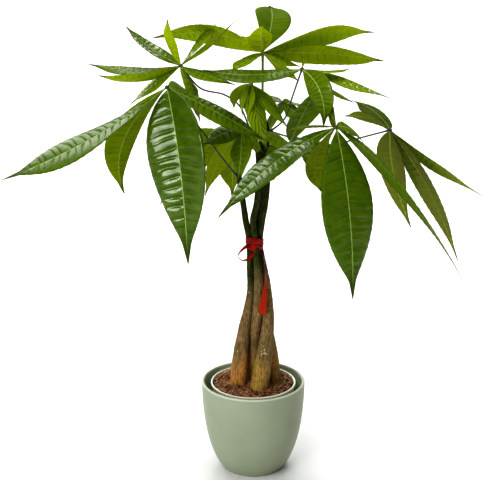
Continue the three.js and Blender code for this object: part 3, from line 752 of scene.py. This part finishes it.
def add_stalk(piece, leaf):
    """A round stalk from the trunk's middle line to the hub: slim, thicker like a bell curve at both ends,
    ending in a small knob."""
    stem = np.array(STEMS[leaf.stem], float).T
    start = [np.interp(leaf.leaves_at, stem[2], row) for row in stem[:3]]
    route = np.array([start, *leaf.bends, leaf.hub], float)
    length = np.linalg.norm(np.diff(route, axis=0), axis=1).sum()
    share = np.linspace(0, 1, int(length / 2.5) + 6)
    path = smooth_path(route, share)
    young = 1.0 if leaf.name in FRESH_STALKS else 0.0
    radius = STALK_RADIUS + FRESH_STALK_EXTRA * young
    radius = radius + 1.3 * bump_shape(share * length, 9.0) + 0.75 * bump_shape((1 - share) * length, 7.0)
    axis = np.argmin(np.abs(route[-1] - route[0]))
    turn = np.linspace(0.15, np.pi - 0.15, 10)
    knob = leaf.hub - 3.0 * np.cos(turn)[:, None] * (0, 0, 1)
    for rings in (round_rings(path, radius, 12, np.eye(3)[axis]),
                  round_rings(knob, 3.1 * np.sin(turn), 16)):
        piece.tubes(rings, 2, phase=0.5, across=9.0, edge=0.0, share=0.0, tone=young, brown=0.0, gloss=1.0)


def make_leaves():
    """Every leaf is one piece: its stalk, its knob and its leaflets."""
    finishes = [leaf_face(), leaf_back(), leaf_stalk()]
    for number, leaf in enumerate(LEAVES):
        piece = Piece(leaf.name + "_blades")
        add_stalk(piece, leaf)
        young = leaf.name == "leaf_young"
        veins = YOUNG_VEINS if young else GROWN_VEINS
        for k, row in enumerate(leaf.leaflets):
            add_leaflet(piece, leaf.hub, Leaflet(*row), 100 * number + k, veins)
        piece.build(finishes, leaf.name)


# ---- trunks ----

# How orange a trunk's foot is, from 0 to 1, and the height at which it turns green.
TRUNK_LOOKS = {"left": (1.0, 270), "middle": (0.2, 302), "front": (0.15, 300), "right": (0.45, 300)}

TRUNK_RINGS = 480
TRUNK_COLUMNS = 64
FIRST_SCAR_HEIGHT = 160.0
WART_COUNT = 60
# A knot of warts on the front trunk, and a swelling inside the left one.
KNOT_WARTS = 16
KNOT_HEIGHT = 203.0
KNOT_TURN = -1.9
SWELL = 1.6
SWELL_HEIGHT = 200.0
SWELL_REACH = 32.0


def leaf_scars(draw, angle, height, top):
    """Shallow crescents at drawn heights: on one side of the trunk a raised line over a groove."""
    relief = 0.0
    level = FIRST_SCAR_HEIGHT
    while level < top:
        facing = np.cos(angle - draw.uniform(0, 2 * np.pi))
        offset = height - level - 1.6 * facing ** 2
        depth = np.clip(1.6 * facing - 0.5, 0, 1) * draw.uniform(0.4, 1)
        relief = relief + (bump_shape(offset, 0.9) - 0.7 * bump_shape(offset + 2.0, 1.1)) * depth
        level += draw.uniform(10, 26)
    return relief


def wart(radius, angle, height, level, turn, reach, rise):
    """A bell curve of the distance over the bark from the place at a level and a turn."""
    aside = radius * np.arccos(np.clip(np.cos(angle - turn), -1, 1))
    return bump_shape(np.hypot(aside, height - level), reach) * rise


def make_trunk(name, rows, seed, warm, green_from, finish):
    """A tapering tube whose radius carries slow lumps, pits, lengthwise cracks where a ripple crosses zero,
    leaf scars and warts at drawn places."""
    rows = np.array(rows, float)
    share = np.linspace(0, 1, TRUNK_RINGS)
    path = smooth_path(rows[:, :3], share)
    angle = round_angles(TRUNK_COLUMNS)
    radius = np.interp(share * (len(rows) - 1), np.arange(len(rows)), rows[:, 3])[:, None]
    height = path[:, 2:]
    around = (np.cos(angle), np.sin(angle), height)
    body = np.clip(radius / 6, 0.12, 1)
    lump = ripples(seed, 9, (0.5, 0.5, 0.02), (1.6, 1.6, 0.07), *around)
    pits = ripples(seed + 3, 30, (2, 2, 0.1), (7, 7, 0.5), *around)
    crack = (1 - np.abs(ripples(seed + 1, 16, (2.5, 2.5, 0.02), (7, 7, 0.08), *around)).clip(0, 1)) ** 8
    draw = np.random.default_rng(seed + 2)
    scar = leaf_scars(draw, angle, height, rows[-4, 2])
    warts = 0.0
    for _ in range(WART_COUNT):
        warts = warts + wart(radius, angle, height, draw.uniform(140, 330), draw.uniform(0, 2 * np.pi),
                             draw.uniform(0.5, 1.8), draw.uniform(0.5, 1.1))
    for _ in range(KNOT_WARTS if name == "front" else 0):
        warts = warts + wart(radius, angle, height, draw.normal(KNOT_HEIGHT, 6),
                             draw.normal(KNOT_TURN, 0.35), draw.uniform(0.7, 1.5), draw.uniform(0.6, 1.4))
    if name == "left":
        swell = SWELL * bump_shape(height - SWELL_HEIGHT, SWELL_REACH)
        radius = radius + swell * np.cos(angle).clip(0) ** 2
    relief = (0.28 * lump + 0.12 * pits - 0.35 * crack + 0.3 * scar + 0.45 * warts) * body
    piece = Piece(f"stem_{name}_bark")
    piece.tubes(round_rings(path, radius + relief + 0.1, len(angle)), height=height, wart=warts, warm=warm,
                crack=crack * 0.7 + np.clip(-scar, 0, 1) * 0.7, green_from=green_from)
    piece.build([finish], "stem_" + name)


def make_trunks():
    """Four trunks, each with its own seed."""
    finish = bark()
    for k, (name, look) in enumerate(TRUNK_LOOKS.items()):
        make_trunk(name, STEMS[name], 40 + 10 * k, *look, finish)


# ---- pots ----

# A turned profile starts and ends this far from the axis, where a fan closes it.
AXIS_GAP = 2.0
# The inner corners of the curve up the cover pot's side, and its roundings.
COVER_BELLY = ((COVER_FOOT_RADIUS + 19, 22), (COVER_RADIUS - 1, 70))
COVER_FOOT_EDGE = 1.6
COVER_FILLET = 5.0
# The nursery pot's rounding, the step in from its rim to its neck, and the rim's depth.
NURSERY_EDGE = 1.5
NURSERY_NECK = 1.4
NURSERY_LIP = 4.5


def turned(profile, columns):
    """Rings about the upright axis, one for each (radius, height) of the profile."""
    radius, height = np.array(profile, float).T[..., None]
    angle = round_angles(columns)
    return np.stack([radius * np.cos(angle), radius * np.sin(angle), height + 0 * angle], -1)


def arc(middle, level, radius, first, last, count=9):
    """Points on an arc in the profile's plane, between two angles in degrees."""
    angle = np.radians(np.linspace(first, last, count))
    return np.stack([middle + radius * np.cos(angle), level + radius * np.sin(angle)], -1)


def straight(start, end, count):
    """Points that cut a straight line into so many even steps, without its ends."""
    return np.linspace(start, end, count + 1)[1:-1]


def make_cover_pot():
    """A cup: flat foot with a rounded edge, one cubic curve up to a rounded rim, and the same curve moved
    inwards by the wall's thickness."""
    half_wall = COVER_WALL / 2
    share = np.linspace(0, 1, 60)[:, None]
    corners = [(COVER_FOOT_RADIUS, 1), *COVER_BELLY, (COVER_RADIUS, COVER_HEIGHT - half_wall)]
    power = np.arange(4)
    side = ((1, 3, 3, 1) * share ** power * (1 - share) ** (3 - power)) @ corners
    wall = side[side[:, 1] > COVER_FLOOR + COVER_FILLET][::-1] - (COVER_WALL, 0)
    rim = arc(COVER_RADIUS - half_wall, COVER_HEIGHT - half_wall, half_wall, 8, 172, 13)
    inner_foot = wall[-1, 0] - COVER_FILLET
    fillet = arc(inner_foot, COVER_FLOOR + COVER_FILLET, COVER_FILLET, 0, -90)
    edge = arc(COVER_FOOT_RADIUS - COVER_FOOT_EDGE, COVER_FOOT_EDGE, COVER_FOOT_EDGE, -88, -40, 6)
    foot = straight((AXIS_GAP, 0), (COVER_FOOT_RADIUS - 2, 0), 12)
    floor = straight((inner_foot, COVER_FLOOR), (AXIS_GAP, COVER_FLOOR), 12)
    outer = np.concatenate([[(AXIS_GAP, 0)], foot, edge, side[1:], rim])
    inner = np.concatenate([wall[1:], fillet, floor])
    piece = Piece("cover_pot_glaze")
    rings = turned(np.concatenate([outer, inner]), 192)
    # Marks the inner wall, which the glaze paints paler as painted light.
    inside = np.repeat([0.0, 1.0], [len(outer), len(inner)])
    piece.tubes(rings, height=rings[..., 2], inside=inside[:, None])
    piece.build([satin_glaze()], "cover_pot")


def make_nursery_pot():
    """A thin tapered cup with a rounded, slightly thicker rim."""
    base, top = NURSERY_BASE, NURSERY_TOP
    neck = NURSERY_RIM_RADIUS - NURSERY_NECK
    inner_foot = NURSERY_FOOT_RADIUS - NURSERY_WALL
    floor = base + NURSERY_WALL
    profile = np.concatenate([
        [(AXIS_GAP, base)],
        straight((AXIS_GAP, base), (NURSERY_FOOT_RADIUS, base), 8),
        arc(NURSERY_FOOT_RADIUS - NURSERY_EDGE, base + NURSERY_EDGE, NURSERY_EDGE, -80, -5, 6),
        straight((NURSERY_FOOT_RADIUS, base + 2), (neck, top - NURSERY_LIP), 24),
        [(neck + 0.2, top - 4), (NURSERY_RIM_RADIUS, top - 3.6)],
        arc(NURSERY_RIM_RADIUS - NURSERY_EDGE, top - NURSERY_EDGE, NURSERY_EDGE, 0, 180),
        [(neck - 1.6, top - 3)],
        straight((neck - NURSERY_WALL, top - 5), (inner_foot, floor), 24),
        straight((inner_foot - 1, floor), (AXIS_GAP, floor), 8)])
    piece = Piece("nursery_pot_plastic")
    piece.tubes(turned(profile, 144))
    piece.build([cream_plastic()], "nursery_pot")


# ---- mulch ----

BANK_HEIGHT = 3.0
BANK_START = 45.0
BANK_WIDTH = 15.0
TRUNK_GAP = 1.0
SPLINTER = ((49.0, 3.0, 134.0), (50.5, 3.0, 156.0))
# Chips, then shreds: how many, the least and greatest length, width and thickness, the rings and points of
# each one, the bend, and the lift above the mix.
LOOSE_BARK = (
    (1500, ((5, 15), (1.6, 4.6), (0.6, 2.0)), 4, 5, 0.2, 0.4),
    (900, ((8, 22), (0.5, 1.2), (0.4, 0.9)), 6, 4, 0.9, 0.8),
)


def turn_about(points, yaw, pitch, roll):
    """Turns each tube's points: roll about its length (X), then pitch about Y, then yaw about Z."""
    cr, sr, cp, sp, cy, sy = (f(a)[:, None, None] for a in (roll, pitch, yaw) for f in (np.cos, np.sin))
    x, y, z = points[..., 0], points[..., 1], points[..., 2]
    y, z = y * cr - z * sr, y * sr + z * cr
    x, z = x * cp + z * sp, z * cp - x * sp
    return np.stack([x * cy - y * sy, x * sy + y * cy, z], -1)


def mulch_level(radius):
    """A low mound in the middle, and loose bark banked up against the pot's wall."""
    bank = np.clip((radius - BANK_START) / BANK_WIDTH, 0, 1) ** 2
    return MIX_LEVEL + MIX_MOUND * (1 - radius / MIX_TOP_RADIUS) + BANK_HEIGHT * bank


def chip_shapes(draw, count, sizes, rows, columns, bend):
    """Splinters: an oval ring whose size rises and falls along the length, with ragged radii and a bend."""
    length, width, thick = (draw.uniform(low, high, count)[:, None, None] for low, high in sizes)
    along = np.linspace(-0.5, 0.5, rows)[:, None]
    swell = (1 - (2 * np.abs(along)) ** 3 * 0.75) * draw.uniform(0.7, 1.15, (count, rows, columns))
    angle = round_angles(columns)
    curve = draw.uniform(-bend, bend, count)[:, None, None] * length * (along ** 2)
    x = along * length + 0 * angle
    return np.stack([x, np.cos(angle) * width / 2 * swell + curve, np.sin(angle) * thick / 2 * swell], -1)


def scatter(draw, count):
    """Random even places on the mix, none of them inside a trunk."""
    radius = (MIX_TOP_RADIUS - 3) * np.sqrt(draw.uniform(0, 1, count))
    angle = draw.uniform(0, 2 * np.pi, count)
    place = np.stack([radius * np.cos(angle), radius * np.sin(angle)], -1)
    feet = np.array([rows[1] for rows in STEMS.values()], float)
    gap = np.linalg.norm(place[:, None] - feet[:, :2], axis=-1) - feet[:, 3]
    place = place[gap.min(axis=1) > TRUNK_GAP]
    return place, mulch_level(np.linalg.norm(place, axis=-1))


def make_mulch():
    """The filling: a turned body with a rough top, and on it bark chips, fine shreds and a pale splinter."""
    draw = np.random.default_rng(7)
    piece = Piece("potting_mix_mulch")
    top_radius = np.linspace(MIX_TOP_RADIUS, AXIS_GAP, 46)
    profile = np.concatenate([
        [(AXIS_GAP, MIX_BASE)],
        straight((AXIS_GAP, MIX_BASE), (MIX_FOOT_RADIUS, MIX_BASE), 6),
        straight((MIX_FOOT_RADIUS, MIX_BASE), (MIX_TOP_RADIUS, MIX_LEVEL - 2), 14),
        np.stack([top_radius, mulch_level(top_radius) - 1.2], -1)])
    body = turned(profile, 160)
    rough = ripples(3, 30, (0.25, 0.25), (1.3, 1.3), body[..., 0], body[..., 1])
    body[..., 2] += np.where(body[..., 2] > MIX_LEVEL - 2.5, 0.9 * rough, 0)
    piece.tubes(body, shade=0.05 + 0.05 * rough)

    for number, sizes, rows, columns, bend, lift in LOOSE_BARK:
        place, level = scatter(draw, number)
        count = len(place)
        shapes = chip_shapes(draw, count, sizes, rows, columns, bend)
        pitch = draw.normal(0, 0.22, count)
        yaw = draw.uniform(0, 2 * np.pi, count)
        shapes = turn_about(shapes, yaw, pitch, draw.uniform(-0.6, 0.6, count))
        shapes[..., :2] += place[:, None, None]
        shapes[..., 2] += (level + lift + draw.uniform(-0.8, 2.2, count))[:, None, None]
        spread = np.linalg.norm(shapes[..., :2], axis=-1)
        shapes[..., :2] *= np.minimum(1, (MIX_TOP_RADIUS - 0.4) / spread)[..., None]
        # Each chip's shade is random, less a painted shade that grows towards the right (+x).
        shade = np.clip(draw.normal(0.46, 0.32, count) - place[:, 0] / 300, 0, 1)
        piece.tubes(shapes, shade=shade[:, None, None])

    piece.tubes(round_rings(np.linspace(*SPLINTER, 8), np.linspace(0.9, 0.6, 8), 6), shade=1.0)
    piece.build([bark_mulch()], "potting_mix")


# ---- ribbon ----

RIBBON_HALF_THICKNESS = 0.25
# Each turn: how steeply it falls to the right and to the back, its seam's angle, its lift over the
# ribbon's middle, its reach round the trunks and its width.
RIBBON_TURNS = (
    (0.1, 0.3, 0.9, 7.0, 13.6, 10.0),
    (0.4, 0.1, 0.2, -1.5, 13.0, 12.0),
)
# Rows of the loop and of the tail: a point on the route, the way that the ribbon faces there, and its width.
RIBBON_LOOP = (
    (-5.5, -12.5, 367, 0, -1, 0.3, 6),
    (-12, -14.5, 365, -0.3, -1, 0.6, 5),
    (-20, -16, 358, -0.8, -0.5, 0.6, 3.4),
    (-23.5, -16, 351, -1, -0.2, 0, 3),
    (-19, -16.5, 345, -0.4, -0.6, -0.9, 4.5),
    (-11, -15.5, 345, 0.2, -0.8, -0.6, 5),
    (-5, -14, 349, 0.2, -1, -0.2, 5.5),
    (-1, -13.3, 355, 0, -1, 0, 6),
)
RIBBON_TAIL = (
    (11.5, -8.0, 358, 0.7, -0.7, 0, 9),
    (15.5, -10, 344, 1, -0.2, 0, 8),
    (17.6, -13, 326, 1, -0.05, 0, 6),
    (18.2, -16.5, 308, 0.8, -0.6, 0, 6),
    (16.8, -19, 290, 0.3, -1, 0, 10),
    (14.8, -20.5, 275, 0.1, -1, 0, 12),
    (13.4, -21.8, 260, 0, -1, 0, 11.5),
)


def ribbon_strip(piece, rows, count, fresh=0.0):
    """A flat strip along a path: each ring is a thin oval as wide as the ribbon, its faces turned towards
    the given directions, with a slight hollow across."""
    share = np.linspace(0, 1, count)
    route, facing, widths = np.split(np.array(rows, float), (3, 6), axis=1)
    path = smooth_path(route, share)
    face, across = ways_across(path, smooth_path(facing, share))
    width = np.interp(share, np.linspace(0, 1, len(rows)), widths[:, 0])[:, None]
    v = np.concatenate([np.linspace(-1, 1, 9), np.linspace(1, -1, 9)])
    thick = np.repeat([RIBBON_HALF_THICKNESS, -RIBBON_HALF_THICKNESS], 9)
    hollow = 0.35 * v ** 2 * np.sin(share * 9)[:, None]
    length = np.concatenate([[0], np.cumsum(np.linalg.norm(np.diff(path, axis=0), axis=1))])
    piece.tubes(sweep(path, across, face, v * width / 2, thick + hollow),
                along=length[:, None], fresh=np.reshape(fresh, (-1, 1)))


def make_ribbon():
    """Two turns round the trunks, a loop that stands off to the left, and a tail that hangs in front. A turn
    is a slightly square ring, tilted both ways."""
    piece = Piece("ribbon_tie")
    cx, cy, cz = RIBBON_MIDDLE
    for fall_right, fall_back, seam, lift, reach, width in RIBBON_TURNS:
        angle = np.linspace(0, 2 * np.pi, 25) + seam
        reach = reach - 0.9 * np.abs(np.sin(2 * angle))
        x, y = reach * np.cos(angle), reach * np.sin(angle)
        z = cz + lift - fall_right * x - fall_back * y
        widths = width - np.abs(np.linspace(-1, 1, 25))
        ribbon_strip(piece, np.stack([cx + x, cy + y, z, x, y, 0 * x, widths], -1), 150)
    ribbon_strip(piece, RIBBON_LOOP, 110)
    # fresh runs from -1, the painted shadow at the tail's start, through 0, the wraps' red, to 1,
    # orange-red.
    ribbon_strip(piece, RIBBON_TAIL, 120, fresh=np.linspace(-2, 4, 120).clip(-1, 1))
    piece.build([red_satin()], "ribbon")


# ---- stage, in metres and degrees ----

# Each soft box: the direction it stands in, its strength, and how wide it looks.
SOFT_BOXES = {
    "left soft box": ((-0.61, -0.78, 0.1), 1.4, 22),
    "front soft box": ((-0.3, -0.6, 0.8), 0.6, 30),
    "top soft box": ((0.05, 0.1, 1.0), 1.9, 40),
    "back left soft box": ((-0.39, 0.84, 0.37), 0.75, 28),
    "back soft box": ((0.06, 0.86, 0.5), 0.75, 28),
}
BACKDROP_LIGHT = 0.15
CAMERA_PLACE = (-0.0144, -2.2, 1.08)
CAMERA_TILT = 17.85
CAMERA_LENS = 113.0
CAMERA_SENSOR = 36.0


def make_floor():
    """A plain pale floor that reaches past the camera's view."""
    paint = Paint("pale_floor", 0.2)
    paint.set({"Base Color": (0.95, 0.95, 0.95), "Roughness": 0.8})
    mesh = bpy.data.meshes.new("floor")
    mesh.from_pydata([(-9, -7, 0), (9, -7, 0), (9, 11, 0), (-9, 11, 0)], [], [(0, 1, 2, 3)])
    mesh.materials.append(paint.material)
    add_object("floor", mesh)


def add_sun(name, source, strength, spread):
    """A far soft box in the direction of the source, as wide as the spread."""
    lamp = bpy.data.lights.new(name, "SUN")
    lamp.energy, lamp.angle = strength, np.radians(spread)
    x, y, z = source
    turn = np.arctan2(np.hypot(x, y), z), 0, np.arctan2(x, -y)
    add_object(name, lamp).rotation_euler = Euler(turn)


def make_studio():
    """Soft boxes, and a backdrop that is white to the camera but lights the plant only faintly."""
    scene = bpy.context.scene
    scene.view_settings.view_transform = "Standard"
    scene.view_settings.look = "High Contrast"
    scene.world = bpy.data.worlds.new("studio")
    scene.world.use_nodes = True
    sky = Nodes(scene.world.node_tree)
    seen = sky.node("ShaderNodeLightPath", {}, {}, output="Is Camera Ray")
    strength = sky.node("ShaderNodeMapRange", {}, {"Value": seen, "To Min": BACKDROP_LIGHT, "To Max": 1.0})
    background = sky.tree.nodes["Background"]
    sky.feed(background.inputs["Color"], (1.0, 1.0, 1.0))
    sky.feed(background.inputs["Strength"], strength)
    for name, box in SOFT_BOXES.items():
        add_sun(name, *box)


def make_camera():
    """The photograph's view, from the front and a little above."""
    camera = bpy.data.cameras.new("camera")
    camera.sensor_width = CAMERA_SENSOR
    camera.lens = CAMERA_LENS
    camera.clip_end = 50
    holder = add_object("camera", camera)
    holder.location = CAMERA_PLACE
    holder.rotation_euler = Euler((np.radians(90 - CAMERA_TILT), 0, 0))
    bpy.context.scene.camera = holder


make_camera()
make_studio()
make_floor()
make_cover_pot()
make_nursery_pot()
make_mulch()
make_trunks()
make_ribbon()
make_leaves()
